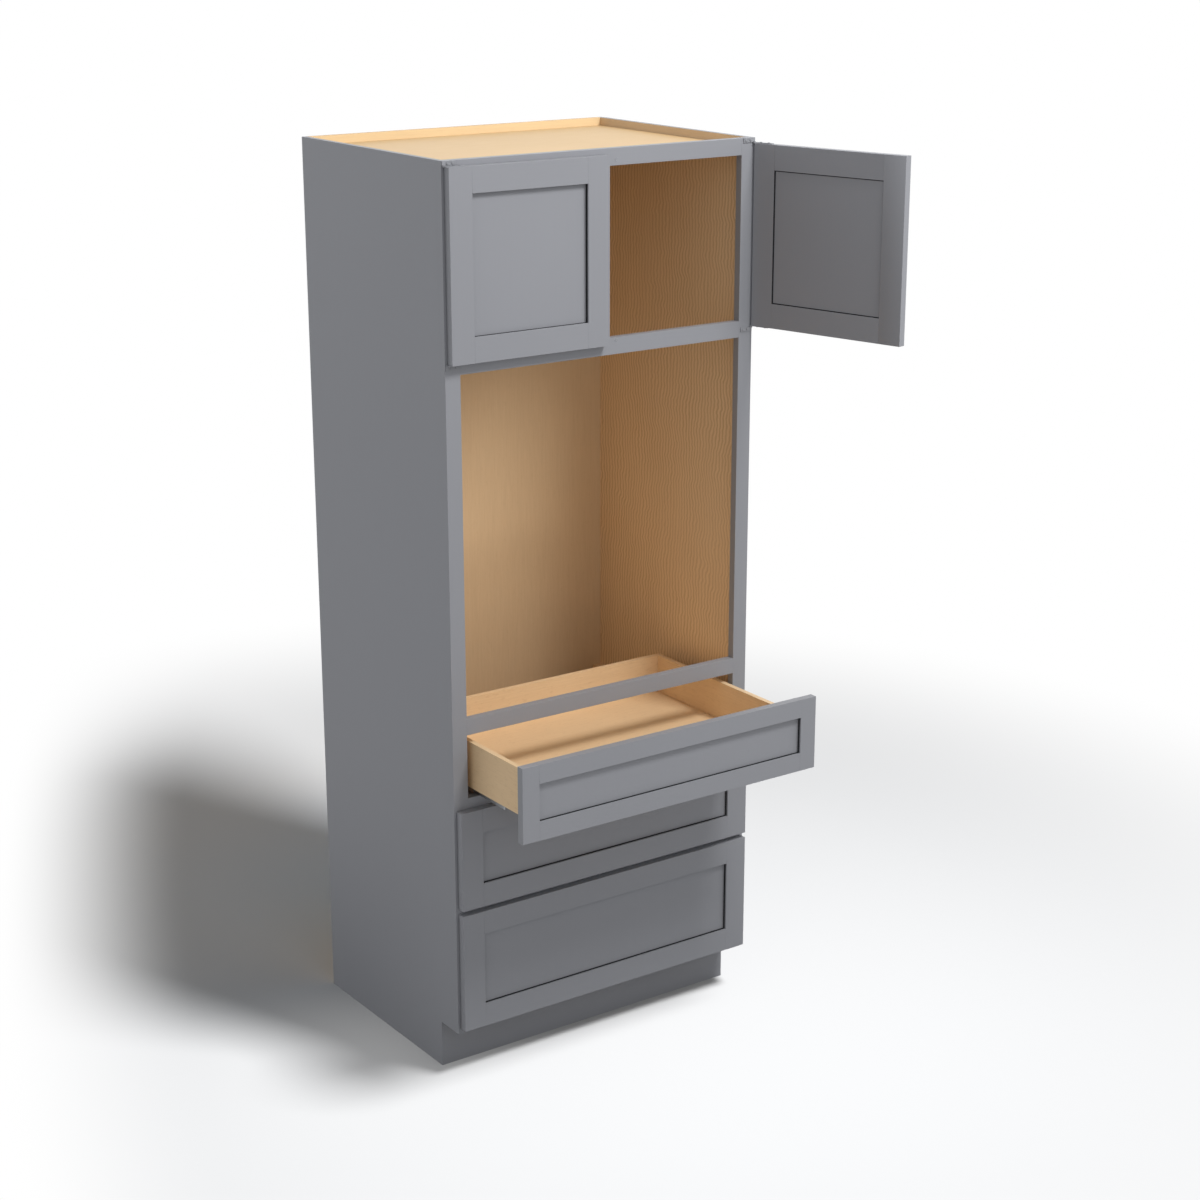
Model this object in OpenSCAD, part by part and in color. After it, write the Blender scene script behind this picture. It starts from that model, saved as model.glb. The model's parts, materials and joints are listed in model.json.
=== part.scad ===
// Tall oven housing unit: a face-frame cabinet with two cupboard doors above an
// open oven space and three drawers below it. Millimetres, +Z up, front faces -Y.
// The origin is on the floor line, at the middle of the back.

/* [Cabinet] */
// Overall width
cabinet_w = 838.2; // [760:0.1:915]
// Overall height
cabinet_h = 2133.6; // [2100:0.1:2440]
// Depth from the back to the front of the face frame
cabinet_d = 609.6; // [600:0.1:700]
// Thickness of the side panels
side_t = 12.7; // [12:0.1:16]
// Thickness of the back panel
back_t = 12.7; // [6:0.1:16]
// Thickness of the top panel
top_t = 12.7; // [9:0.1:16]
// Depth of the top panel below the upper edges
top_recess = 19.05; // [12:0.01:25]
// Thickness of the bottom panel
bottom_t = 12.7; // [9:0.1:16]
// Height of the toe space
toe_h = 114.3; // [100:0.1:125]
// Depth of the toe space behind the face frame's front
toe_d = 76.2; // [60:0.1:90]
// Thickness of the toe kick board
toe_board_t = 12.7; // [9:0.1:16]

/* [Face frame] */
// Thickness of the face frame
frame_t = 19.05; // [18:0.01:22]
// Width of the two stiles
stile_w = 38.1; // [36:0.1:45]
// Width of the rails
rail_w = 38.1; // [36:0.1:45]
// Height of the bottom drawer's opening
bottom_open_h = 254; // [200:0.1:270]
// Height of the middle drawer's opening
middle_open_h = 215.9; // [180:0.1:230]
// Height of the top drawer's opening
top_open_h = 152.4; // [140:0.1:170]
// Height of the cupboard's opening
cupboard_open_h = 381; // [300:0.1:450]

/* [Doors and drawer fronts] */
// Thickness of the doors and drawer fronts
front_t = 19.05; // [18:0.01:22]
// Gap between the fronts and the face frame, held by the pads
front_gap = 1.6; // [1.2:0.1:2]
// Face frame left showing beside the fronts
side_reveal = 6.35; // [5.9:0.01:8]
// Face frame left showing above the doors
top_reveal = 12.7; // [12:0.1:15]
// Face frame left showing below the bottom drawer
bottom_reveal = 12.7; // [6:0.1:15]
// How far a front laps over the rail at its edge
overlay = 12.7; // [11:0.1:14]
// Gap between the two doors
door_gap = 3.2; // [2:0.1:5]
// Width of the frame pieces of the doors and deep drawer fronts
wide_frame_w = 57.15; // [50:0.01:65]
// Width of the frame pieces of the shallow drawer front
narrow_frame_w = 44.45; // [40:0.01:48]
// Thickness of the recessed panels
panel_t = 6.35; // [5:0.01:7]
// Depth of the recess in front of a panel
panel_setback = 9.5; // [8:0.1:10]
// Depth of the grooves that hold a panel
groove_d = 9.5; // [6:0.1:12]

/* [Drawer boxes] */
// Gap between a drawer box and the opening at each side
box_gap = 14.3; // [13:0.1:16]
// Gap between a closed drawer box and the back panel
box_back_gap = 58.5; // [50:0.1:70]
// Thickness of the box sides, front and back
box_t = 12.7; // [12:0.1:16]
// Thickness of the box bottom
box_bottom_t = 6.35; // [5:0.01:9]
// Height of the box bottom above the lower edge of the sides
box_recess = 9.5; // [9:0.1:13]
// Depth of the grooves that hold the box bottom
box_groove_d = 5; // [3:0.1:6]
// Gap below a box in its opening
box_lift = 19.05; // [18:0.01:22]
// Gap above a box in its opening
box_headroom = 22.2; // [15:0.1:30]

/* [Drawer slides] */
// Distance from the rear end of the slide rails to the rear of the box
slide_end_gap = 9.75; // [5:0.01:20]
// Steel thickness of the slide rails
slide_t = 1.6; // [1.2:0.1:1.8]
// Width of the channel rails
slide_w = 34; // [30:0.1:38]
// Play between the rails of a slide
slide_play = 0.5; // [0.3:0.1:0.8]
// Number of screws along each cabinet rail
slide_screws_n = 3; // [2:1:5]

/* [Hinges] */
// Radius of the hinge pins
pin_r = 1.6; // [1.4:0.1:1.8]
// Radial play of a pin in its leaf
pin_play = 0.05; // [0.02:0.01:0.1]
// Distance of the pin line from the cabinet's side
pin_side = 4.5; // [4:0.1:5]
// Distance of the pin line in front of the face frame
pin_front = 3.5; // [3.5:0.1:4]
// Radius of the eye round a pin
eye_r = 3.2; // [3:0.1:3.4]
// Thickness of the hinge leaves
leaf_t = 2; // [1.5:0.1:2.2]
// Width of a leaf on the door's edge
leaf_w = 10; // [8:0.1:12]
// Length of a hinge leaf
leaf_l = 44; // [36:1:56]
// Play between the two leaves of a hinge
leaf_play = 0.3; // [0.2:0.1:0.5]

/* [Screws and pads] */
// Shank radius of the hinge and slide screws
screw_r = 1.5; // [1.2:0.1:1.7]
// Length of the hinge and slide screws under the head
screw_l = 14; // [10:1:15]
// Head radius of the hinge and slide screws
screw_head_r = 2.8; // [2.4:0.1:3]
// Head height of the hinge and slide screws
screw_head_h = 1.2; // [1:0.1:1.4]
// Shank radius of the drawer front screws
front_screw_r = 1.9; // [1.6:0.1:2]
// Length of the drawer front screws under the head
front_screw_l = 28; // [24:1:30]
// Head radius of the drawer front screws
front_screw_head_r = 3.6; // [3:0.1:3.8]
// Head height of the drawer front screws
front_screw_head_h = 2; // [1.5:0.1:2.4]
// Radial play of a screw in its hole
screw_play = 0.05; // [0.02:0.01:0.1]
// Radius of the clear pads behind the fronts
pad_r = 4; // [3:0.1:5]
// Radius of the holes for wall screws in the back panel
wall_hole_r = 2.75; // [2:0.05:4]
// Distance between the wall screws across the back
wall_hole_pitch_x = 406.4; // [300:0.1:500]
// Height of the lower wall screws
wall_hole_z = 260; // [200:1:320]
// Distance of the upper wall screws below the upper edge
wall_hole_drop = 83.6; // [60:0.1:120]

/* [Pose] */
// How far the top drawer stands open
top_pull = 255; // [0:1:490]
// How far the middle drawer stands open
middle_pull = 0; // [0:1:490]
// How far the bottom drawer stands open
bottom_pull = 0; // [0:1:490]
// How far the right door stands open, in degrees
right_door_angle = 104.5; // [0:0.5:110]
// How far the left door stands open, in degrees
left_door_angle = 0; // [0:1:110]

/* [Hidden] */

// Colours as the photograph shows them
paint = "#8e9095";
maple = "#e3c093";
ply = "#c99f6c";
steel = "#b9bcc0";
clear_pad = "#e8ecef";

// One overrun for every cut, and the number of facets of round things
cut = 1;
$fn = 32;

// Planes of the cabinet
half_w = cabinet_w / 2;
front_y = -cabinet_d;
frame_back_y = front_y + frame_t;
side_in_x = half_w - side_t;
stile_in_x = half_w - stile_w;
back_in_y = -back_t;
toe_board_y = front_y + toe_d;
toe_board_back_y = toe_board_y + toe_board_t;
top_face_z = cabinet_h - top_recess;

// Heights of the openings: the drawers from the bottom up, the cupboard from the top down,
// and the oven opening between them
bottom_open_z = toe_h + rail_w;
middle_open_z = bottom_open_z + bottom_open_h + rail_w;
top_open_z = middle_open_z + middle_open_h + rail_w;
oven_open_z = top_open_z + top_open_h + rail_w;
top_rail_z = cabinet_h - rail_w;
cupboard_open_z = top_rail_z - cupboard_open_h;

// Drawers in the order top, middle, bottom
open_zs = [top_open_z, middle_open_z, bottom_open_z];
open_hs = [top_open_h, middle_open_h, bottom_open_h];
pulls = [top_pull, middle_pull, bottom_pull];
frame_ws = [narrow_frame_w, wide_frame_w, wide_frame_w];
front_z0s = [top_open_z - overlay, middle_open_z - overlay, toe_h + bottom_reveal];
front_z1s = [for (k = [0:2]) open_zs[k] + open_hs[k] + overlay];

// Doors
door_z0 = cupboard_open_z - overlay;
door_z1 = cabinet_h - top_reveal;
door_x0 = door_gap / 2;
door_x1 = half_w - side_reveal;

// Front and back planes of every door and drawer front, and the panel inside
face_y = front_y - front_gap - front_t;
face_back_y = front_y - front_gap;
panel_y = face_y + panel_setback;

// Drawer boxes
box_half_w = stile_in_x - box_gap;
box_y0 = face_back_y;
box_y1 = back_in_y - box_back_gap;
box_z0s = [for (k = [0:2]) open_zs[k] + box_lift];
box_z1s = [for (k = [0:2]) open_zs[k] + open_hs[k] - box_headroom];
box_bottom_zs = [for (z = box_z0s) z + box_recess];

// Slides: the three rails nest, with the drawer rail under the box bottom
slide_y0 = frame_back_y + slide_t;
slide_l = box_y1 - slide_end_gap - slide_y0;
slide_x1 = box_half_w - box_t - slide_play;
slide_x0 = slide_x1 - slide_w;
slide_half_share = 0.36;
slide_top = box_lift + box_recess;
slide_low_h = slide_top * slide_half_share;
cleat_h = rail_w - bottom_t + slide_low_h;
middle_x0 = slide_x0 + slide_t + slide_play;
middle_x1 = slide_x1 - slide_t - slide_play;
middle_z0 = slide_play;
middle_z1 = slide_top - slide_t - slide_play;
screw_step = slide_l / slide_screws_n;

// Hinges
pin_x = half_w - pin_side;
pin_y = front_y - pin_front;
door_mid_y = face_back_y - front_t / 2;
frame_leaf_x0 = half_w - stile_w + pin_side;
frame_leaf_h = top_reveal - leaf_t - leaf_play;
frame_flange_t = pin_front - eye_r + slide_t;
leaf_screw_share = 0.25;

// Pads sit halfway over the lap of each front on its rail
pad_t = front_gap;
door_pad_x = door_x0 + wide_frame_w / 2;
drawer_pad_x = half_w / 2;

// A block from its lowest to its highest corner
module block(low, high) {
    translate(low) cube(high - low);
}

// The same shape at the right, and mirrored at the left
module both_sides() {
    children();
    mirror([1, 0, 0]) children();
}

// A screw along +Z with its head above zero and its shank below
module screw(r, l, head_r, head_h) {
    translate([0, 0, -l]) cylinder(h = l, r = r);
    cylinder(h = head_h, r = head_r);
}

// Carcass

module side_panel() {
    difference() {
        block([side_in_x, frame_back_y, 0], [half_w, 0, cabinet_h]);
        block([side_in_x - cut, frame_back_y - cut, -cut], [half_w + cut, toe_board_back_y, toe_h]);
    }
}

module left_side_panel() {
    color(paint) mirror([1, 0, 0]) side_panel();
}

module right_side_panel() {
    color(paint) side_panel();
}

module back_panel() {
    color(ply) difference() {
        block([-side_in_x, back_in_y, 0], [side_in_x, 0, cabinet_h]);
        for (sx = [-1, 1])
            for (z = [wall_hole_z, cabinet_h - wall_hole_drop])
                translate([sx * wall_hole_pitch_x / 2, back_in_y - cut, z])
                    rotate([-90, 0, 0])
                        cylinder(h = back_t + 2 * cut, r = wall_hole_r);
    }
}

module top_panel() {
    color(maple) block([-side_in_x, frame_back_y, top_face_z - top_t], [side_in_x, back_in_y, top_face_z]);
}

module bottom_panel() {
    color(maple) block([-side_in_x, frame_back_y, toe_h], [side_in_x, back_in_y, toe_h + bottom_t]);
}

module toe_kick_board() {
    color(paint) block([-half_w, toe_board_y, 0], [half_w, toe_board_back_y, toe_h]);
}

// Face frame: stiles run the full height above the toe space, rails fit between them

module frame_stile() {
    difference() {
        block([stile_in_x, front_y, toe_h], [half_w, frame_back_y, cabinet_h]);
        frame_leaf_bores();
    }
}

module left_stile() {
    color(paint) mirror([1, 0, 0]) frame_stile();
}

module right_stile() {
    color(paint) frame_stile();
}

module frame_rail(z) {
    color(paint) block([-stile_in_x, front_y, z], [stile_in_x, frame_back_y, z + rail_w]);
}

module top_rail() {
    frame_rail(top_rail_z);
}

module cupboard_rail() {
    frame_rail(cupboard_open_z - rail_w);
}

module oven_rail() {
    frame_rail(oven_open_z - rail_w);
}

module upper_drawer_rail() {
    frame_rail(top_open_z - rail_w);
}

module lower_drawer_rail() {
    frame_rail(middle_open_z - rail_w);
}

module bottom_rail() {
    frame_rail(toe_h);
}

// Slides and what carries them

module at_slide_screws(k) {
    for (i = [0:slide_screws_n - 1])
        translate([stile_in_x - slide_t, slide_y0 + screw_step * (i + 1 / 2), open_zs[k] + slide_low_h / 2])
            rotate([0, -90, 0])
                children();
}

module slide_screw_bores(k) {
    at_slide_screws(k)
        translate([0, 0, -screw_l - cut])
            cylinder(h = screw_l + 2 * cut, r = screw_r + screw_play);
}

module slide_cleats() {
    color(maple) both_sides() for (k = [0:2])
        difference() {
            block([stile_in_x, frame_back_y, open_zs[k] + slide_low_h - cleat_h],
                [side_in_x, back_in_y, open_zs[k] + slide_low_h]);
            slide_screw_bores(k);
        }
}

// The rail fixed to the cleat: a flange on the cleat, a shelf and an upright channel
module cabinet_slide_rail(k) {
    z = open_zs[k];
    y1 = slide_y0 + slide_l;
    difference() {
        union() {
            block([stile_in_x - slide_t, slide_y0, z - slide_t], [stile_in_x, y1, z + slide_low_h]);
            block([slide_x0, slide_y0, z - slide_t], [stile_in_x, y1, z]);
            block([slide_x1 - slide_t, slide_y0, z - slide_t], [slide_x1, y1, z + slide_low_h]);
            block([slide_x0, slide_y0, z - slide_t], [slide_x0 + slide_t, y1, z + slide_low_h]);
        }
        slide_screw_bores(k);
    }
}

module cabinet_slide_rails() {
    color(steel) both_sides() for (k = [0:2]) cabinet_slide_rail(k);
}

module slide_screws() {
    color(steel) both_sides() for (k = [0:2])
        at_slide_screws(k) screw(screw_r, screw_l, screw_head_r, screw_head_h);
}

// The rail between: two tall walls joined by a web, which follows at half the drawer's travel
module middle_rails(k) {
    y0 = slide_y0 - pulls[k] / 2;
    y1 = y0 + slide_l;
    z = open_zs[k];
    web_z = z + (middle_z0 + middle_z1 - slide_t) / 2;
    color(steel) both_sides() union() {
        block([middle_x0, y0, z + middle_z0], [middle_x0 + slide_t, y1, z + middle_z1]);
        block([middle_x1 - slide_t, y0, z + middle_z0], [middle_x1, y1, z + middle_z1]);
        block([middle_x0, y0, web_z], [middle_x1, y1, web_z + slide_t]);
    }
}

// The rail under the box bottom: a channel that opens downwards
module drawer_slide_rails(k) {
    y0 = slide_y0 - pulls[k];
    y1 = y0 + slide_l;
    z0 = open_zs[k] + slide_low_h + slide_play;
    z1 = open_zs[k] + slide_top;
    color(steel) both_sides() union() {
        block([slide_x0, y0, z1 - slide_t], [slide_x1, y1, z1]);
        block([slide_x0, y0, z0], [slide_x0 + slide_t, y1, z1]);
        block([slide_x1 - slide_t, y0, z0], [slide_x1, y1, z1]);
    }
}

// Framed fronts: grooved stiles, grooved rails with stub tenons, and a loose panel

module front_stiles(x0, x1, z0, z1, w) {
    color(paint) for (s = [[x0, x0 + w, x0 + w - groove_d], [x1 - w, x1, x1 - w - cut]])
        difference() {
            block([s[0], face_y, z0], [s[1], face_back_y, z1]);
            block([s[2], panel_y, z0 - cut], [s[2] + groove_d + cut, panel_y + panel_t, z1 + cut]);
        }
}

module front_rail(x0, x1, z0, w, tenon_z0, groove_z0) {
    difference() {
        union() {
            block([x0 + w, face_y, z0], [x1 - w, face_back_y, z0 + w]);
            block([x0 + w - groove_d, panel_y, tenon_z0],
                [x1 - w + groove_d, panel_y + panel_t, tenon_z0 + w - groove_d]);
        }
        block([x0, panel_y, groove_z0], [x1, panel_y + panel_t, groove_z0 + groove_d + cut]);
    }
}

module front_rails(x0, x1, z0, z1, w) {
    front_rail(x0, x1, z0, w, z0, z0 + w - groove_d);
    front_rail(x0, x1, z1 - w, w, z1 - w + groove_d, z1 - w - cut);
}

module front_panel(x0, x1, z0, z1, w) {
    inset = w - groove_d;
    block([x0 + inset, panel_y, z0 + inset], [x1 - inset, panel_y + panel_t, z1 - inset]);
}

// Doors: built closed at the right, then turned about the pin line

module hung(angle) {
    translate([pin_x, pin_y, 0])
        rotate([0, 0, angle])
            translate([-pin_x, -pin_y, 0])
                children();
}

module door_stiles() {
    difference() {
        front_stiles(door_x0, door_x1, door_z0, door_z1, wide_frame_w);
        at_hinges() door_leaf_bores();
    }
}

module door_rails() {
    color(paint) front_rails(door_x0, door_x1, door_z0, door_z1, wide_frame_w);
}

module door_panel() {
    color(paint) front_panel(door_x0, door_x1, door_z0, door_z1, wide_frame_w);
}

// The upper hinge as drawn, and the lower hinge as its mirror image below the door
module at_hinges() {
    translate([0, 0, door_z1]) children();
    translate([0, 0, door_z0]) mirror([0, 0, 1]) children();
}

module at_door_leaf_screws() {
    for (share = [leaf_screw_share, 1 - leaf_screw_share])
        translate([door_x1 - leaf_l * share, door_mid_y, leaf_t])
            children();
}

module door_leaf_bores() {
    at_door_leaf_screws()
        translate([0, 0, -screw_l - cut])
            cylinder(h = screw_l + 2 * cut, r = screw_r + screw_play);
}

// A plate on the door's edge, with an eye that reaches round the corner to the pin
module door_leaf() {
    difference() {
        union() {
            block([door_x1 - leaf_l, door_mid_y - leaf_w / 2, 0], [door_x1, door_mid_y + leaf_w / 2, leaf_t]);
            block([pin_x - eye_r, door_mid_y - leaf_w / 2, 0], [pin_x + pin_r / 2, pin_y, leaf_t]);
            translate([pin_x, pin_y, 0]) cylinder(h = leaf_t, r = eye_r);
        }
        translate([pin_x, pin_y, -cut]) cylinder(h = leaf_t + 2 * cut, r = pin_r + pin_play);
        door_leaf_bores();
    }
}

module door_hinge_leaves() {
    color(steel) at_hinges() door_leaf();
}

module door_hinge_screws() {
    color(steel) at_hinges() at_door_leaf_screws() screw(screw_r, screw_l, screw_head_r, screw_head_h);
}

module left_door_stiles() {
    mirror([1, 0, 0]) hung(left_door_angle) door_stiles();
}

module left_door_rails() {
    mirror([1, 0, 0]) hung(left_door_angle) door_rails();
}

module left_door_panel() {
    mirror([1, 0, 0]) hung(left_door_angle) door_panel();
}

module left_door_hinge_leaves() {
    mirror([1, 0, 0]) hung(left_door_angle) door_hinge_leaves();
}

module left_door_hinge_screws() {
    mirror([1, 0, 0]) hung(left_door_angle) door_hinge_screws();
}

module right_door_stiles() {
    hung(right_door_angle) door_stiles();
}

module right_door_rails() {
    hung(right_door_angle) door_rails();
}

module right_door_panel() {
    hung(right_door_angle) door_panel();
}

module right_door_hinge_leaves() {
    hung(right_door_angle) door_hinge_leaves();
}

module right_door_hinge_screws() {
    hung(right_door_angle) door_hinge_screws();
}

// The fixed leaf: a flange on the stile, an arm over the pin, and the riveted pin
module at_frame_leaf_screws() {
    for (share = [leaf_screw_share, 1 - leaf_screw_share])
        translate([frame_leaf_x0 + (pin_x - eye_r - frame_leaf_x0) * share,
            front_y - frame_flange_t,
            leaf_t + leaf_play + frame_leaf_h / 2])
            rotate([90, 0, 0])
                children();
}

module frame_leaf_bores() {
    at_hinges() at_frame_leaf_screws()
        translate([0, 0, -screw_l - cut])
            cylinder(h = screw_l + 2 * cut, r = screw_r + screw_play);
}

module frame_leaf() {
    z0 = leaf_t + leaf_play;
    difference() {
        union() {
            block([frame_leaf_x0, front_y - frame_flange_t, z0], [pin_x + eye_r, front_y, z0 + frame_leaf_h]);
            block([pin_x - eye_r, pin_y, z0], [pin_x + eye_r, front_y, z0 + leaf_t]);
            translate([pin_x, pin_y, z0]) cylinder(h = leaf_t, r = eye_r);
            translate([pin_x, pin_y, 0]) cylinder(h = z0 + leaf_t, r = pin_r);
        }
        at_frame_leaf_screws()
            translate([0, 0, -screw_l - cut])
                cylinder(h = screw_l + 2 * cut, r = screw_r + screw_play);
    }
}

module frame_hinge_leaves() {
    color(steel) both_sides() at_hinges() frame_leaf();
}

module frame_hinge_screws() {
    color(steel) both_sides() at_hinges() at_frame_leaf_screws()
        screw(screw_r, screw_l, screw_head_r, screw_head_h);
}

// Clear pads on the face frame that the doors and drawer fronts close on
module bumper_pads() {
    door_zs = [door_z0 + overlay / 2, top_rail_z + overlay];
    low_zs = [for (k = [0:2]) (front_z0s[k] + open_zs[k]) / 2];
    high_zs = [for (k = [1:2]) front_z1s[k] - overlay / 2];
    places = concat(
        [for (z = door_zs) [door_pad_x, z]],
        [for (z = concat(low_zs, high_zs)) [drawer_pad_x, z]]);
    color(clear_pad) both_sides() for (p = places)
        translate([p[0], front_y, p[1]]) rotate([90, 0, 0]) cylinder(h = pad_t, r = pad_r);
}

// Drawers: built closed, then pulled out

module pulled(k) {
    translate([0, -pulls[k], 0]) children();
}

module at_front_screws(k) {
    inset = box_recess / 2;
    for (sx = [-1, 1])
        for (z = [box_z0s[k] + inset, box_z1s[k] - inset])
            translate([sx * box_half_w / 2, box_y0 + box_t, z])
                rotate([-90, 0, 0])
                    children();
}

module front_screw_bores(k) {
    at_front_screws(k)
        translate([0, 0, -front_screw_l - cut])
            cylinder(h = front_screw_l + 2 * cut, r = front_screw_r + screw_play);
}

module drawer_front_stiles(k) {
    pulled(k) front_stiles(-door_x1, door_x1, front_z0s[k], front_z1s[k], frame_ws[k]);
}

module drawer_front_rails(k) {
    color(paint) pulled(k) difference() {
        front_rails(-door_x1, door_x1, front_z0s[k], front_z1s[k], frame_ws[k]);
        front_screw_bores(k);
    }
}

module drawer_front_panel(k) {
    color(paint) pulled(k) difference() {
        front_panel(-door_x1, door_x1, front_z0s[k], front_z1s[k], frame_ws[k]);
        front_screw_bores(k);
    }
}

module drawer_box_sides(k) {
    z0 = box_z0s[k];
    z = box_bottom_zs[k];
    inner = box_half_w - box_t;
    color(maple) pulled(k) both_sides() difference() {
        block([inner, box_y0, z0], [box_half_w, box_y1, box_z1s[k]]);
        block([inner - cut, box_y0 + box_t - box_groove_d, z],
            [inner + box_groove_d, box_y1 + cut, z + box_bottom_t]);
    }
}

// The box front is grooved for the bottom, and the box back stands on it
module drawer_box_ends(k) {
    inner = box_half_w - box_t;
    z = box_bottom_zs[k];
    z1 = box_z1s[k];
    color(maple) pulled(k) {
        difference() {
            block([-inner, box_y0, box_z0s[k]], [inner, box_y0 + box_t, z1]);
            block([-inner - cut, box_y0 + box_t - box_groove_d, z],
                [inner + cut, box_y0 + box_t + cut, z + box_bottom_t]);
            front_screw_bores(k);
        }
        block([-inner, box_y1 - box_t, z + box_bottom_t], [inner, box_y1, z1]);
    }
}

module drawer_box_bottom(k) {
    edge = box_half_w - box_t + box_groove_d;
    z = box_bottom_zs[k];
    color(maple) pulled(k)
        block([-edge, box_y0 + box_t - box_groove_d, z], [edge, box_y1, z + box_bottom_t]);
}

module drawer_front_screws(k) {
    color(steel) pulled(k) at_front_screws(k)
        screw(front_screw_r, front_screw_l, front_screw_head_r, front_screw_head_h);
}

left_side_panel();
right_side_panel();
back_panel();
top_panel();
bottom_panel();
toe_kick_board();
left_stile();
right_stile();
top_rail();
cupboard_rail();
oven_rail();
upper_drawer_rail();
lower_drawer_rail();
bottom_rail();
slide_cleats();
cabinet_slide_rails();
slide_screws();
frame_hinge_leaves();
frame_hinge_screws();
bumper_pads();
left_door_stiles();
left_door_rails();
left_door_panel();
left_door_hinge_leaves();
left_door_hinge_screws();
right_door_stiles();
right_door_rails();
right_door_panel();
right_door_hinge_leaves();
right_door_hinge_screws();
drawer_front_stiles(0);  // top_drawer_front_stiles
drawer_front_rails(0);  // top_drawer_front_rails
drawer_front_panel(0);  // top_drawer_front_panel
drawer_box_sides(0);  // top_drawer_box_sides
drawer_box_ends(0);  // top_drawer_box_ends
drawer_box_bottom(0);  // top_drawer_box_bottom
drawer_slide_rails(0);  // top_drawer_slide_rails
drawer_front_screws(0);  // top_drawer_front_screws
middle_rails(0);  // top_slide_middle_rails
drawer_front_stiles(1);  // middle_drawer_front_stiles
drawer_front_rails(1);  // middle_drawer_front_rails
drawer_front_panel(1);  // middle_drawer_front_panel
drawer_box_sides(1);  // middle_drawer_box_sides
drawer_box_ends(1);  // middle_drawer_box_ends
drawer_box_bottom(1);  // middle_drawer_box_bottom
drawer_slide_rails(1);  // middle_drawer_slide_rails
drawer_front_screws(1);  // middle_drawer_front_screws
middle_rails(1);  // middle_slide_middle_rails
drawer_front_stiles(2);  // bottom_drawer_front_stiles
drawer_front_rails(2);  // bottom_drawer_front_rails
drawer_front_panel(2);  // bottom_drawer_front_panel
drawer_box_sides(2);  // bottom_drawer_box_sides
drawer_box_ends(2);  // bottom_drawer_box_ends
drawer_box_bottom(2);  // bottom_drawer_box_bottom
drawer_slide_rails(2);  // bottom_drawer_slide_rails
drawer_front_screws(2);  // bottom_drawer_front_screws
middle_rails(2);  // bottom_slide_middle_rails
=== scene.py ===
import json
import math

import bmesh
import bpy
from mathutils import Matrix, Vector


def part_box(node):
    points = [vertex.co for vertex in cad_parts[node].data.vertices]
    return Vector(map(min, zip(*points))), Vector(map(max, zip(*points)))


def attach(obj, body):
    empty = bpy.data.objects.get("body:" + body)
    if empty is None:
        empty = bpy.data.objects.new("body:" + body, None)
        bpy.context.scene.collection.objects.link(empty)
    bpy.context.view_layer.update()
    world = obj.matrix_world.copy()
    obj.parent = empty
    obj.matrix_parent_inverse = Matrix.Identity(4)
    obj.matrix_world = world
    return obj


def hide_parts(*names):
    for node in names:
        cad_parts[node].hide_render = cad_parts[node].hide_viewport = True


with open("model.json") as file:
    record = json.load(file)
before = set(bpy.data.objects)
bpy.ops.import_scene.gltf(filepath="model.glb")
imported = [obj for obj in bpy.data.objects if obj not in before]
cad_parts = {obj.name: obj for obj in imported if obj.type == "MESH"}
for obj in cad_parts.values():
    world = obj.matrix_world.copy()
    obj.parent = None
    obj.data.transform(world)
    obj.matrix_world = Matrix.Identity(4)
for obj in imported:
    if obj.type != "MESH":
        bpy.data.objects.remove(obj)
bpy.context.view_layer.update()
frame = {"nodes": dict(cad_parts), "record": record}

MM = 0.001


def plane(node, corner, axis):
    """A plane of a node's box in millimetres: corner 0 is the lowest one, and axis 0 is X."""
    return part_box(node)[corner][axis] / MM


def joint(name):
    """The record's row of a joint."""
    return next(row for row in frame["record"]["behaviour"]["joints"] if row["name"] == name)


def opened(name):
    """How far a joint stands open in the model as built, in degrees or metres."""
    row = joint(name)
    return -row["range_deg" if row["type"] == "hinge" else "range_m"][0]


# Planes of the cabinet and its fronts, in millimetres, and the right door's pin line
HALF_W = plane("right_side_panel", 1, 0)
TOP_FACE = plane("top_panel", 1, 2)
TOE_BACK = plane("toe_kick_board", 1, 1)
FACE_FRONT = plane("left_door_rails", 0, 1)
PANEL_FRONT = plane("left_door_panel", 0, 1)
PANEL_BACK = plane("left_door_panel", 1, 1)
PIN = Vector(joint("right_door_hinge")["pos_m"])

# Details of the fronts, in millimetres: the groove that hides a panel's edge, the depth at which the
# painted shade in a recess starts, the width of the line of painted shade round a panel, and how near a wall
# lies to it
GROOVE = 9.5
PAINTED_SHADE_FROM = 4.0
SHADE_LINE_FRONT = 0.6
SHADE_LINE_BACK = 2.2
WALL_REACH = 0.6

# Rounding of the edges, in millimetres
EDGE_FRAME = 0.45
EDGE_TOE = 0.4
EDGE_BOARD = 0.3
EDGE_BOX = 0.6
EDGE_SLIDE = 0.25
EDGE_LEAF = 0.2
EDGE_SCREW = 0.3
EDGE_PAD = 0.5
PAD_SEGMENTS = 3

# Place of the painted shade among the two finishes of a piece of a front
PAINTED_SHADE = 1

# Angles and shares that tell faces and edges apart, and the tolerances of merging and parting
SHARP_ANGLE = math.radians(40.0)
SMOOTH_ANGLE = math.radians(32.0)
FLAT_ANGLE = math.radians(0.5)
FACING = 0.3
SQUARE = 0.5
NEAR = 0.01
MERGE_REACH = 0.00002
PART_REACH = 0.00001

# Strengths of the room's light from each side, and of the floor's glow, painted light that stands in for the
# light it throws back
ROOM_COLOUR = (0.97, 0.985, 1.0, 1.0)
ROOM_LEFT = 0.62
ROOM_FRONT = 0.85
ROOM_RIGHT = 0.96
ROOM_BACK = 1.93
ROOM_ABOVE = 0.27
FLOOR_GLOW_LEFT = 0.35
FLOOR_GLOW_FRONT = 0.56
# Where the floor counts as left of the cabinet, and the ring from which it only glows, painted light that
# stands in for the light it throws back
FLOOR_LEFT_FROM = 0.42
FLOOR_LEFT_REACH = 0.6
FLOOR_GLOW_RING = (0.6, 2.6)
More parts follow.
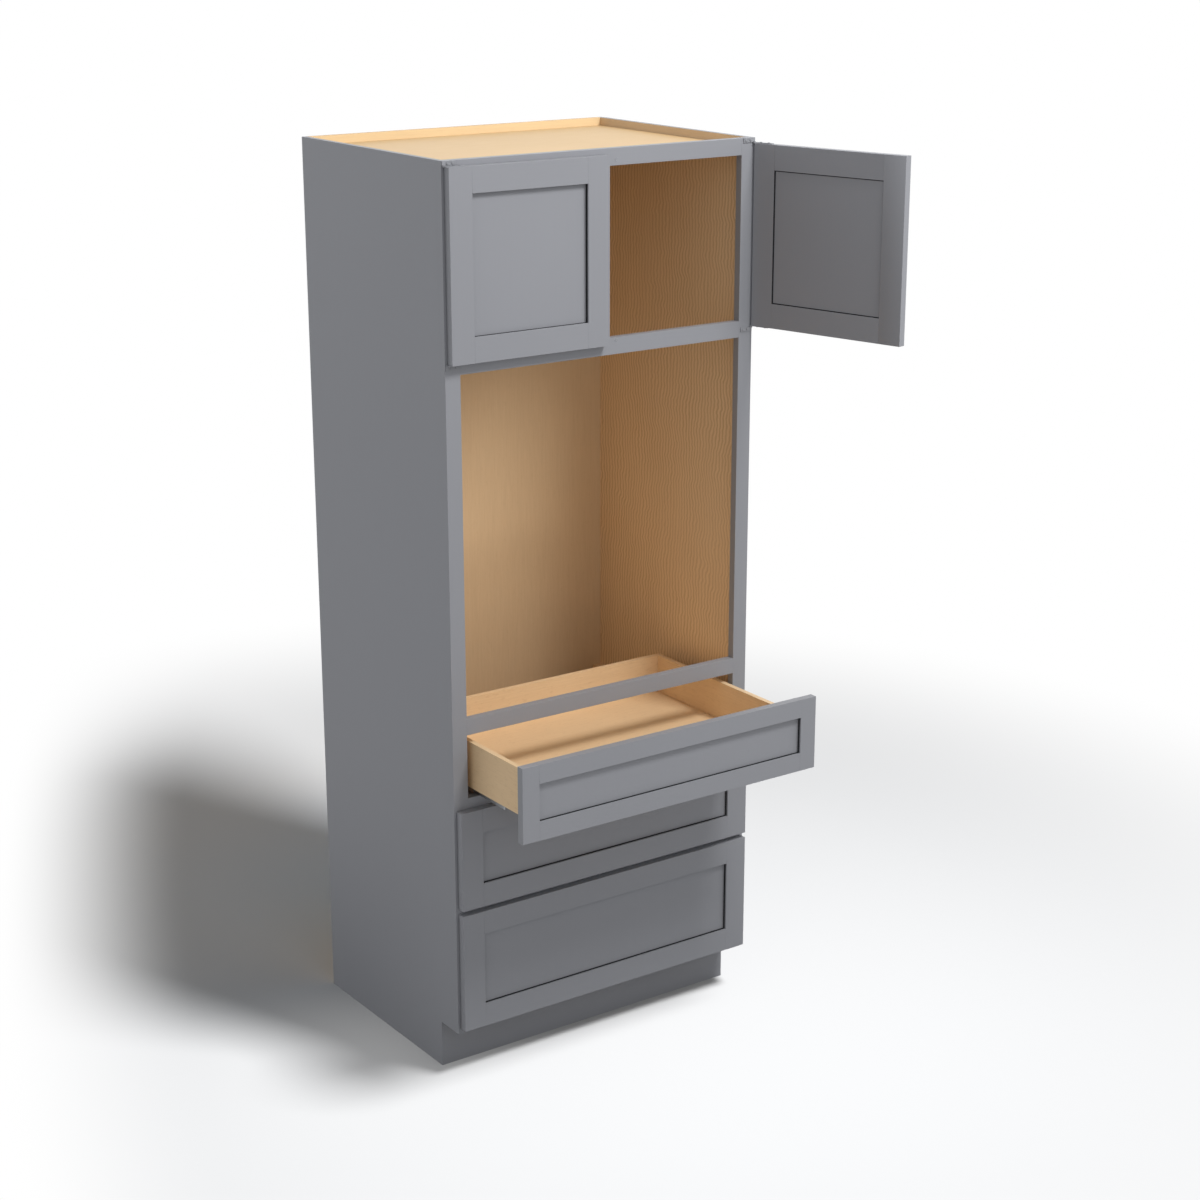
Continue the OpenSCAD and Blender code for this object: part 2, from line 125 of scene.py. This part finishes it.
# The floor as the camera sees it: its colour, the way its surface leans, and where it turns white
FLOOR_HALF = 14.0
FLOOR_WHITE = (0.546, 0.549, 0.554)
FLOOR_LEAN = (-0.09, -0.82, 0.55)
FLOOR_EDGE = (6.0, 6.33)
FLOOR_TURN = (-2.83, 4.79, 0.0)
FLOOR_STRETCH = (1.0, 0.3, 1.0)
FLOOR_FAR = (1.4, 3.0)
# Painted light on the floor: painted shade that darkens it a little to the right, a painted pool of light by
# the front left corner, and a cooler tint behind that cancels the warm light the wood throws back
FLOOR_SHADE_SLOPE = 0.08
FLOOR_PAINTED_LIGHT = 0.16
FLOOR_PAINTED_LIGHT_AT = (-0.54, -0.4, 0.0)
FLOOR_PAINTED_LIGHT_REACH = 0.55
FLOOR_COOL = (0.38, 0.549, 0.758)
FLOOR_COOL_AT = (0.0, 0.46, 0.0)
FLOOR_COOL_REACH = (-0.9, 0.95)
# The floor's colour for the light that it throws back at the cabinet
FLOOR_GREY = (0.085, 0.085, 0.085)
# The key lamp: where it hangs, what it looks at, its width, its power, and its power on the floor alone
KEY_PLACE = (1.06, -2.933, 4.834)
KEY_TARGET = (0.0, -0.45, 1.1)
KEY_WIDTH = 1.26
KEY_POWER = 128.0
KEY_ON_FLOOR = 404.0

# The camera where it stood for the photograph: its place, and its turn to the right and tilt in radians
CAMERA_PLACE = (-2.98961, -4.84520, 2.68168)
CAMERA_YAW = 0.614
CAMERA_TILT = -0.303
# In pixels of the photograph: its width, the focal length and the optical centre
FRAME_PX = 1200.0
FOCAL_PX = 2341.979
CENTRE_PX = (603.551, 617.69)
# Width of the sensor in millimetres, and how far the camera sees in metres
SENSOR_W = 36.0
CLIP_END = 200.0


class Value:
    """A socket of a finish. Sums and products of it add Math nodes."""

    def __init__(self, finish, socket):
        self.finish = finish
        self.socket = socket

    def math(self, operation, *others):
        node = self.finish.add("ShaderNodeMath", {"operation": operation})
        for slot, item in enumerate((self,) + others):
            self.finish.put(node.inputs[slot], item)
        return Value(self.finish, node.outputs[0])

    def __add__(self, other):
        return self.math("ADD", other)

    def __sub__(self, other):
        return self.math("SUBTRACT", other)

    def __mul__(self, other):
        return self.math("MULTIPLY", other)

    def __rsub__(self, other):
        return (self * -1.0).math("ADD", other)

    def __pow__(self, other):
        return self.math("POWER", other)

    __radd__ = __add__
    __rmul__ = __mul__

    def fade(self, low, high):
        """0 below low, 1 above high, and smooth between."""
        return self.finish.node("ShaderNodeMapRange", {"interpolation_type": "SMOOTHSTEP"},
                                {"Value": self, "From Min": low, "From Max": high})


class Finish:
    """A material with one Principled shader, whose constants are set on its own sockets."""

    def __init__(self, name, **constants):
        self.material = bpy.data.materials.new(name)
        self.material.use_nodes = True
        self.tree = self.material.node_tree
        self.shader = self.tree.nodes["Principled BSDF"]
        for key, value in constants.items():
            self.shader.inputs[key.replace("_", " ")].default_value = value
        self.place = self.node("ShaderNodeTexCoord", {}, {}, "Object")

    def add(self, kind, settings):
        node = self.tree.nodes.new(kind)
        for key, value in settings.items():
            setattr(node, key, value)
        return node

    def put(self, socket, item):
        if isinstance(item, Value):
            self.tree.links.new(item.socket, socket)
        else:
            socket.default_value = item

    def node(self, kind, settings, values, output=0):
        """Adds a node: its settings first, then the values or links of its sockets."""
        node = self.add(kind, settings)
        for key, item in values.items():
            self.put(node.inputs[key], item)
        return Value(self, node.outputs[output]) if node.outputs else None

    def stretched(self, x, y, z):
        return self.node("ShaderNodeMapping", {}, {"Vector": self.place, "Scale": (x, y, z)})

    def noise(self, scale, detail, rough, where=None):
        values = {"Vector": where or self.place, "Scale": scale, "Detail": detail, "Roughness": rough}
        return self.node("ShaderNodeTexNoise", {}, values)

    def axis(self, letter):
        return self.node("ShaderNodeSeparateXYZ", {}, {0: self.place}, letter)

    def apart(self, spot):
        """Distance from a spot."""
        return self.node("ShaderNodeVectorMath", {"operation": "DISTANCE"}, {0: self.place, 1: spot}, "Value")

    def scaled(self, colour, share):
        return self.node("ShaderNodeVectorMath", {"operation": "SCALE"}, {0: colour, "Scale": share})

    def blend(self, share, first, second):
        """Mixes two colours: sockets 0, 6 and 7 of the node are its factor and its colours."""
        node = self.add("ShaderNodeMix", {"data_type": "RGBA"})
        self.put(node.inputs[0], share)
        self.put(node.inputs[6], first if isinstance(first, Value) else tuple(first) + (1.0,))
        self.put(node.inputs[7], second if isinstance(second, Value) else tuple(second) + (1.0,))
        return Value(self, node.outputs[2])

    def bump(self, height, strength, distance):
        return self.node("ShaderNodeBump", {}, {"Height": height, "Strength": strength, "Distance": distance})

    def wear(self, colour, roughness=None, normal=None, metallic=None):
        for key, item in (("Base Color", colour), ("Roughness", roughness), ("Normal", normal),
                          ("Metallic", metallic)):
            if item is not None:
                self.put(self.shader.inputs[key], item)
        return self.material


# Paint colours. In the finishes below, scales of noise are per metre and bump distances are in metres
GREY = (0.292, 0.296, 0.318)
STEEL_GREY = (0.285, 0.290, 0.310)
# The wavy lines of the side veneer, in metres: their pitch, their short ripple and their long sway
LINE_PITCH = 0.0115
LINE_RIPPLE = 0.026
LINE_SWAY = 0.05
# Thickness of one layer of the plywood, in metres
PLY_PITCH = 0.0021


def satin_paint(name, shade=GREY, along="Z", gloss=0.5):
    """Sprayed satin paint over wood: soft mottling, faint grain showing through, a fine orange peel."""
    f = Finish(name, Specular_IOR_Level=0.2)
    mottle = f.noise(3.2, detail=3.0, rough=0.5)
    fine = f.noise(900.0, detail=2.0, rough=0.6)
    run = (220.0, 220.0, 6.0) if along == "Z" else (6.0, 220.0, 220.0)
    grain = f.noise(1.0, detail=3.0, rough=0.55, where=f.stretched(*run))
    colour = f.scaled(shade, 0.965 + mottle * 0.05 + grain * 0.02)
    rough = gloss - 0.05 + mottle * 0.06 + fine * 0.05
    peel = f.bump(f.noise(420.0, detail=2.0, rough=0.5) + grain * 0.6, strength=0.12, distance=0.0004)
    return f.wear(colour, rough, peel)


def shadow_paint(name):
    """Near-black paint down in the recess round a panel: painted shade that stands in for its shadow."""
    f = Finish(name, Specular_IOR_Level=0.2)
    mottle = f.noise(60.0, detail=2.0, rough=0.5)
    colour = f.blend(mottle, (0.014, 0.014, 0.016), (0.030, 0.031, 0.034))
    return f.wear(colour, 0.6 + mottle * 0.1, f.bump(mottle, strength=0.1, distance=0.0003))


def maple(name, light, dark, along="Z", figure=0.0, speckle=0.3):
    """Lacquered maple: fine fibres and flecks along one axis, and wavy growth lines where it has figure."""
    f = Finish(name, Specular_IOR_Level=0.22)

    def run(across, lengthwise):
        return f.stretched(*[lengthwise if letter == along else across for letter in "XYZ"])

    fibre = f.noise(1.0, detail=3.0, rough=0.6, where=run(420.0, 12.0))
    band = f.noise(1.0, detail=2.0, rough=0.5, where=run(26.0, 1.6))
    fleck = f.noise(1.0, detail=2.0, rough=0.65, where=run(150.0, 50.0)).fade(0.54, 0.74)
    cloud = f.noise(2.4, detail=2.0, rough=0.5)
    share = 0.30 + (fibre - 0.5) * (0.35 + 0.5 * speckle) + (band - 0.5) * 0.12
    share = share + fleck * 0.45 * speckle + (cloud - 0.5) * 0.3
    height = fibre + fleck * 0.5
    if figure:
        ripple = f.noise(1.0, detail=2.0, rough=0.5, where=run(11.0, 26.0))
        sway = f.noise(1.0, detail=1.0, rough=0.4, where=run(3.0, 4.5))
        depth = f.noise(1.0, detail=1.0, rough=0.4, where=run(12.0, 3.0))
        side = f.axis("X") + f.axis("Y")
        wavy = side + (ripple - 0.5) * LINE_RIPPLE + (sway - 0.5) * LINE_SWAY
        line = (wavy * (2.0 * math.pi / LINE_PITCH)).math("SINE") * (0.35 + depth * 1.3)
        share = share + line * figure
        height = height + line * 0.25
    colour = f.blend(share.fade(-0.25, 1.05), light, dark)
    return f.wear(colour, 0.45 + fibre * 0.12, f.bump(height, strength=0.12, distance=0.0003))


def plies(name, light, dark):
    """Bare plywood edge: thin layers, every second one dark."""
    f = Finish(name, Specular_IOR_Level=0.3)
    layer = (f.axis("X") * (math.pi / PLY_PITCH)).math("SINE").fade(-0.2, 0.2)
    fibre = f.noise(1.0, detail=3.0, rough=0.6, where=f.stretched(500.0, 500.0, 60.0))
    colour = f.blend(layer * 0.5 + fibre * 0.35, light, dark)
    return f.wear(colour, 0.55 + fibre * 0.15, f.bump(fibre + layer * 0.5, strength=0.2, distance=0.0004))


def zinc(name):
    """Folded steel with bright zinc: fine rolling lines and soft grey clouds."""
    f = Finish(name, Specular_IOR_Level=0.5)
    cloud = f.noise(26.0, detail=3.0, rough=0.6)
    rolled = f.noise(1.0, detail=3.0, rough=0.6, where=f.stretched(900.0, 14.0, 900.0))
    colour = f.blend(cloud, (0.33, 0.34, 0.35), (0.46, 0.47, 0.49))
    roughness = 0.26 + cloud * 0.14 + rolled * 0.1
    return f.wear(colour, roughness, f.bump(rolled, strength=0.08, distance=0.0002), metallic=0.95)


def clear_pad(name):
    """Soft clear plastic with a faint cloud."""
    f = Finish(name, Specular_IOR_Level=0.3, Alpha=0.15)
    cloud = f.noise(300.0, detail=2.0, rough=0.5)
    colour = f.blend(cloud, (0.62, 0.64, 0.66), (0.78, 0.80, 0.82))
    return f.wear(colour, 0.18 + cloud * 0.12, f.bump(cloud, strength=0.1, distance=0.0002))


paint = satin_paint("satin grey paint, upright")
paint_level = satin_paint("satin grey paint, level", along="X")
paint_steel = satin_paint("grey paint on steel", shade=STEEL_GREY, gloss=0.34)
# Near-black painted shade for the walls and lines round the panels
recess = shadow_paint("painted shade in the panel recess")
side_veneer = maple("maple veneer, side", (0.92, 0.685, 0.43), (0.66, 0.45, 0.24), figure=0.31)
strip_veneer = maple("maple veneer, above the top", (0.69, 0.52, 0.335), (0.54, 0.38, 0.22), "Y",
                     speckle=0.2)
ledge_veneer = maple("maple veneer, back above the top", (0.90, 0.70, 0.42), (0.69, 0.49, 0.28), "X",
                     speckle=0.2)
back_veneer = maple("maple veneer, back", (0.80, 0.59, 0.36), (0.60, 0.415, 0.235), speckle=0.2)
top_veneer = maple("maple veneer, top", (0.72, 0.507, 0.268), (0.55, 0.367, 0.184), "X", speckle=0.2)
drawer_wood = maple("drawer maple, along", (0.88, 0.65, 0.40), (0.69, 0.475, 0.27), "Y", speckle=0.6)
drawer_end_wood = maple("drawer maple, across", (0.88, 0.65, 0.40), (0.69, 0.475, 0.27), "X", speckle=0.6)
ply_edge = plies("plywood edge", (0.72, 0.52, 0.31), (0.50, 0.32, 0.17))
steel = zinc("zinc plated steel")
pad_clear = clear_pad("clear plastic pad")


def body_of_node(node):
    for body, members in frame["record"]["behaviour"]["bodies"].items():
        if node in members:
            return body


def merged(node):
    """A bmesh copy of a CAD node, its loose triangles joined into flat faces."""
    bm = bmesh.new()
    bm.from_mesh(frame["nodes"][node].data)
    bmesh.ops.remove_doubles(bm, verts=bm.verts, dist=MERGE_REACH)
    bmesh.ops.dissolve_limit(bm, angle_limit=FLAT_ANGLE, verts=bm.verts, edges=bm.edges)
    return bm


def ease(bm, width, segments=2):
    """Rounds the sharp edges a little, as sanding and paint do."""
    sharp = [e for e in bm.edges if len(e.link_faces) == 2 and e.calc_face_angle(0.0) > SHARP_ANGLE]
    made = bmesh.ops.bevel(bm, geom=sharp, offset=width * MM, offset_type="OFFSET", affect="EDGES",
                           segments=segments, profile=0.5, material=-1, clamp_overlap=True)
    for face in made["faces"]:
        face.smooth = True


def part_along(bm, place, normal):
    """Parts the faces along a plane and keeps both sides."""
    bmesh.ops.bisect_plane(bm, geom=list(bm.verts) + list(bm.edges) + list(bm.faces), dist=PART_REACH,
                           plane_co=place, plane_no=normal)


def finished(bm, node, finishes, round_sides=False):
    """Turns a bmesh into a piece that stands for a CAD node and rides on its body."""
    name = node + "_piece"
    mesh = bpy.data.meshes.new(name)
    bm.to_mesh(mesh)
    bm.free()
    piece = bpy.data.objects.new(name, mesh)
    bpy.context.scene.collection.objects.link(piece)
    for item in finishes:
        mesh.materials.append(item)
    if round_sides:
        mesh.shade_smooth()
        mesh.set_sharp_from_angle(angle=SMOOTH_ANGLE)
    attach(piece, body_of_node(node))
    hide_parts(node)


def dressed(node, finish, width, segments=2, round_sides=False):
    bm = merged(node)
    ease(bm, width, segments)
    finished(bm, node, [finish], round_sides)


def sided(node, finishes, choose, parted=None):
    """A board with more than one finish: choose gives each face's finish from its middle, in millimetres,
    and its normal. Where parted is a height, the board's faces are parted there."""
    bm = merged(node)
    ease(bm, EDGE_BOARD)
    if parted:
        part_along(bm, (0.0, 0.0, parted * MM), (0.0, 0.0, 1.0))
    bm.normal_update()
    for face in bm.faces:
        face.material_index = finishes.index(choose(face.calc_center_median() / MM, face.normal))
    finished(bm, node, finishes)


def unhung(body):
    """The move that lays a front back to where it is built: closed, a door at the right."""
    if body == "right_door":
        return (Matrix.Translation(PIN) @ Matrix.Rotation(math.radians(-opened("right_door_hinge")), 4, "Z")
                @ Matrix.Translation(-PIN))
    if body == "left_door":
        return Matrix.Scale(-1.0, 4, (1.0, 0.0, 0.0))
    if body == "top_drawer":
        return Matrix.Translation((0.0, opened("top_drawer_slide"), 0.0))
    return Matrix.Identity(4)


def inside_of(panel, mirrored=False):
    """The opening inside a front's frame: its lowest and highest X, then its lowest and highest Z."""
    low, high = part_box(panel)
    x0, x1 = (-high[0], -low[0]) if mirrored else (low[0], high[0])
    return x0 / MM + GROOVE, x1 / MM - GROOVE, low[2] / MM + GROOVE, high[2] / MM - GROOVE


def front_frame(node, finish, inner):
    """Stiles or rails of a front. Deep down, the walls that look at the panel take near-black painted shade
    in place of the recess's shadow.
    """
    back = unhung(body_of_node(node))
    hang = back.inverted()
    bm = merged(node)
    ease(bm, EDGE_FRAME)
    painted_shade_y = FACE_FRONT + PAINTED_SHADE_FROM
    part_along(bm, hang @ Vector((0.0, painted_shade_y * MM, 0.0)), hang.to_3x3() @ Vector((0.0, 1.0, 0.0)))
    bm.normal_update()
    x0, x1, z0, z1 = inner
    turn = back.to_3x3()
    for face in bm.faces:
        place = back @ face.calc_center_median() / MM
        normal = turn @ face.normal
        wall = abs(normal.y) < FACING and place.y > painted_shade_y
        inside = (x0 - WALL_REACH < place.x < x1 + WALL_REACH
                  and z0 - WALL_REACH < place.z < z1 + WALL_REACH)
        # Deep walls round the panel take the painted shade
        face.material_index = PAINTED_SHADE if wall and inside else 0
    finished(bm, node, [finish, recess])


def front_panel(node, inner):
    """The recessed panel, with a fine line of painted shade where it meets the frame."""
    x0, x1, z0, z1 = inner
    low = Vector((x0 - GROOVE, PANEL_FRONT, z0 - GROOVE)) * MM
    high = Vector((x1 + GROOVE, PANEL_BACK, z1 + GROOVE)) * MM
    bm = bmesh.new()
    bmesh.ops.create_cube(bm, size=1.0)
    bmesh.ops.scale(bm, vec=high - low, verts=bm.verts)
    bmesh.ops.translate(bm, vec=(low + high) / 2, verts=bm.verts)
    bm.normal_update()
    for face in [f for f in bm.faces if abs(f.normal.y) > SQUARE]:
        shade_line = SHADE_LINE_BACK if face.normal.y > 0.0 else SHADE_LINE_FRONT
        bmesh.ops.inset_region(bm, faces=[face], thickness=GROOVE * MM, depth=0.0, use_even_offset=True)
        # A flat ring of painted shade round the panel's face
        ring = bmesh.ops.inset_region(bm, faces=[face], thickness=shade_line * MM, depth=0.0, use_even_offset=True)
        for part in ring["faces"]:
            part.material_index = PAINTED_SHADE
    hang = unhung(body_of_node(node)).inverted()
    bmesh.ops.transform(bm, matrix=hang, verts=bm.verts)
    if hang.determinant() < 0.0:
        bmesh.ops.reverse_faces(bm, faces=bm.faces)
    finished(bm, node, [paint, recess])


def framed_front(front, inner):
    front_frame(front + "_stiles", paint, inner)
    front_frame(front + "_rails", paint_level, inner)
    front_panel(front + "_panel", inner)


def side_face(place, normal):
    """Paint outside, on top and in front, veneer inside, plainer above the top panel, and plywood edges."""
    outside = abs(place.x) > HALF_W - EDGE_BOARD - NEAR
    if outside or abs(normal.z) > SQUARE or place.y < TOE_BACK - EDGE_BOARD - NEAR:
        return paint
    if abs(normal.x) < SQUARE:
        return ply_edge
    return strip_veneer if place.z > TOP_FACE else side_veneer


def back_face(place, normal):
    """Veneer on both faces, with its own tone above the top panel, and bare plywood edges."""
    if abs(normal.y) < FACING:
        return ply_edge
    return ledge_veneer if normal.y < 0.0 and place.z > TOP_FACE else back_veneer


def level_face(place, normal):
    """Veneer above and below, and bare plywood edges."""
    return top_veneer if abs(normal.z) > FACING else ply_edge


for node in ("left_stile", "right_stile"):
    dressed(node, paint, EDGE_FRAME)
for node in ("top_rail", "cupboard_rail", "oven_rail", "upper_drawer_rail", "lower_drawer_rail",
             "bottom_rail"):
    dressed(node, paint_level, EDGE_FRAME)
dressed("toe_kick_board", paint_level, EDGE_TOE)
for node in ("left_side_panel", "right_side_panel"):
    sided(node, [paint, side_veneer, ply_edge, strip_veneer], side_face, parted=TOP_FACE)
sided("back_panel", [back_veneer, ply_edge, ledge_veneer], back_face, parted=TOP_FACE)
for node in ("top_panel", "bottom_panel"):
    sided(node, [top_veneer, ply_edge], level_face)

dressed("slide_cleats", drawer_wood, EDGE_BOX)
for node in ("cabinet_slide_rails", "top_slide_middle_rails", "middle_slide_middle_rails",
             "bottom_slide_middle_rails", "top_drawer_slide_rails", "middle_drawer_slide_rails",
             "bottom_drawer_slide_rails"):
    dressed(node, steel, EDGE_SLIDE)
for node in ("frame_hinge_leaves", "left_door_hinge_leaves", "right_door_hinge_leaves"):
    dressed(node, paint_steel, EDGE_LEAF, round_sides=True)
for node in ("frame_hinge_screws", "left_door_hinge_screws", "right_door_hinge_screws"):
    dressed(node, paint_steel, EDGE_SCREW, round_sides=True)
for node in ("slide_screws", "top_drawer_front_screws", "middle_drawer_front_screws",
             "bottom_drawer_front_screws"):
    dressed(node, steel, EDGE_SCREW, round_sides=True)
dressed("bumper_pads", pad_clear, EDGE_PAD, PAD_SEGMENTS, round_sides=True)

for door in ("left_door", "right_door"):
    framed_front(door, inside_of("left_door_panel", mirrored=True))
for drawer in ("top_drawer", "middle_drawer", "bottom_drawer"):
    framed_front(drawer + "_front", inside_of(drawer + "_front_panel"))
    dressed(drawer + "_box_sides", drawer_wood, EDGE_BOX)
    dressed(drawer + "_box_ends", drawer_end_wood, EDGE_BOX)
    dressed(drawer + "_box_bottom", drawer_end_wood, EDGE_BOARD)


def studio_floor():
    """A white floor. It keeps the shadow for the camera, carries painted light and shade, and throws light
    back at the cabinet's sides, far off as a glow of painted light.
    """
    bm = bmesh.new()
    bmesh.ops.create_grid(bm, x_segments=2, y_segments=2, size=FLOOR_HALF)
    mesh = bpy.data.meshes.new("studio_floor")
    bm.to_mesh(mesh)
    bm.free()
    item = bpy.data.objects.new("studio_floor", mesh)
    bpy.context.scene.collection.objects.link(item)
    f = Finish("white floor", Roughness=0.9, Specular_IOR_Level=0.0, Emission_Strength=1.0)
    looked_at = f.node("ShaderNodeLightPath", {}, {}, "Is Camera Ray")
    looked_at = looked_at + f.node("ShaderNodeLightPath", {}, {}, "Is Glossy Ray")
    looked_at = looked_at + f.node("ShaderNodeLightPath", {}, {}, "Is Transmission Ray")
    looked_at = looked_at.math("MINIMUM", 1.0)
    # Sockets 4 and 5 of a vector Mix are its two vectors, and its output 1 is the mixed one
    lean = f.node("ShaderNodeMix", {"data_type": "VECTOR"},
                  {"Factor": looked_at, 4: (0.0, 0.0, 1.0), 5: FLOOR_LEAN}, 1)
    radius = f.apart((0.0, 0.0, 0.0))
    oval = f.node("ShaderNodeMapping", {},
                  {"Vector": f.place, "Location": FLOOR_TURN, "Scale": FLOOR_STRETCH})
    edge = f.node("ShaderNodeVectorMath", {"operation": "LENGTH"}, {0: oval}, "Value")
    left = (f.axis("X") * -1.0 - FLOOR_LEFT_FROM).fade(0.0, FLOOR_LEFT_REACH)
    # A painted pool of light that lightens the shadow by the front left corner
    painted_light = (1.0 - f.apart(FLOOR_PAINTED_LIGHT_AT).fade(0.0, FLOOR_PAINTED_LIGHT_REACH)) * FLOOR_PAINTED_LIGHT
    far = 1.0 - (1.0 - edge.fade(*FLOOR_EDGE)) * (1.0 - radius.fade(*FLOOR_FAR)) * (1.0 - painted_light)
    seen_far = looked_at * far
    # Far off, the floor glows for rays other than the camera's: painted light that stands in for the light it
    # throws back
    glow_far = (1.0 - looked_at) * radius.fade(*FLOOR_GLOW_RING)
    glow_strength = left * FLOOR_GLOW_LEFT + (1.0 - left) * FLOOR_GLOW_FRONT
    # Painted shade and light: darker to the right, lighter to the left
    near = (1.0 - seen_far - glow_far) * (1.0 - f.axis("X") * FLOOR_SHADE_SLOPE)
    # A painted cool tint behind the cabinet, against the warm light that the wood throws back
    shown = f.blend(f.apart(FLOOR_COOL_AT).fade(*FLOOR_COOL_REACH), FLOOR_COOL, FLOOR_WHITE)
    mesh.materials.append(f.wear(f.scaled(f.blend(looked_at, FLOOR_GREY, shown), near), normal=lean))
    f.put(f.shader.inputs["Emission Color"], glow_far * glow_strength + seen_far)
    return item


class Room(Finish):
    """The room's own light, written with the same values as a finish."""

    def __init__(self, name):
        world = bpy.data.worlds.new(name)
        bpy.context.scene.world = world
        world.use_nodes = True
        self.tree = world.node_tree
        self.tree.nodes.clear()
        self.place = self.node("ShaderNodeTexCoord", {}, {}, "Generated")


def studio_world():
    """A pale room with a soft light on each side and overhead. It shows white to the camera."""
    r = Room("soft room")
    strength = 0.0
    for letter, turned, power in (("X", -1.0, ROOM_LEFT), ("Y", -1.0, ROOM_FRONT), ("X", 1.0, ROOM_RIGHT),
                                  ("Y", 1.0, ROOM_BACK), ("Z", 1.0, ROOM_ABOVE)):
        strength = (r.axis(letter) * turned).math("MAXIMUM", 0.0) ** 2.0 * power + strength
    room = r.node("ShaderNodeBackground", {}, {"Color": ROOM_COLOUR, "Strength": strength})
    white = r.node("ShaderNodeBackground", {}, {"Color": (1.0, 1.0, 1.0, 1.0), "Strength": 1.0})
    seen = r.node("ShaderNodeLightPath", {}, {}, "Is Camera Ray")
    mix = r.node("ShaderNodeMixShader", {}, {0: seen, 1: room, 2: white})
    r.node("ShaderNodeOutputWorld", {}, {"Surface": mix})


def lamp(name, place, target, size, power):
    data = bpy.data.lights.new(name, "AREA")
    data.shape = "DISK"
    data.size = size
    data.energy = power
    item = bpy.data.objects.new(name, data)
    bpy.context.scene.collection.objects.link(item)
    item.location = place
    item.rotation_mode = "QUATERNION"
    item.rotation_quaternion = (Vector(target) - Vector(place)).to_track_quat("-Z", "Y")
    return item


def lit_alone(item, thing):
    """Keeps a lamp's light to one thing. Its shadows still fall there."""
    alone = bpy.data.collections.new(thing.name + " alone")
    alone.objects.link(thing)
    item.light_linking.receiver_collection = alone


def photo_camera():
    """The camera at the photograph's place. A small shift sets its optical centre."""
    flat = math.cos(CAMERA_TILT)
    ahead = Vector((math.sin(CAMERA_YAW) * flat, math.cos(CAMERA_YAW) * flat, math.sin(CAMERA_TILT)))
    right = Vector((math.cos(CAMERA_YAW), -math.sin(CAMERA_YAW), 0.0))
    up = right.cross(ahead)
    data = bpy.data.cameras.new("camera")
    data.sensor_width = SENSOR_W
    data.lens = FOCAL_PX / FRAME_PX * SENSOR_W
    data.shift_x = (FRAME_PX / 2 - CENTRE_PX[0]) / FRAME_PX
    data.shift_y = (CENTRE_PX[1] - FRAME_PX / 2) / FRAME_PX
    data.clip_end = CLIP_END
    item = bpy.data.objects.new("camera", data)
    bpy.context.scene.collection.objects.link(item)
    turn = Matrix((right, up, -ahead)).transposed().to_4x4()
    item.matrix_world = Matrix.Translation(CAMERA_PLACE) @ turn
    bpy.context.scene.camera = item


floor = studio_floor()
studio_world()
lamp("key lamp", KEY_PLACE, KEY_TARGET, KEY_WIDTH, KEY_POWER)
lit_alone(lamp("floor lamp", KEY_PLACE, KEY_TARGET, KEY_WIDTH, KEY_ON_FLOOR), floor)
photo_camera()
bpy.context.scene.view_settings.view_transform = "Standard"
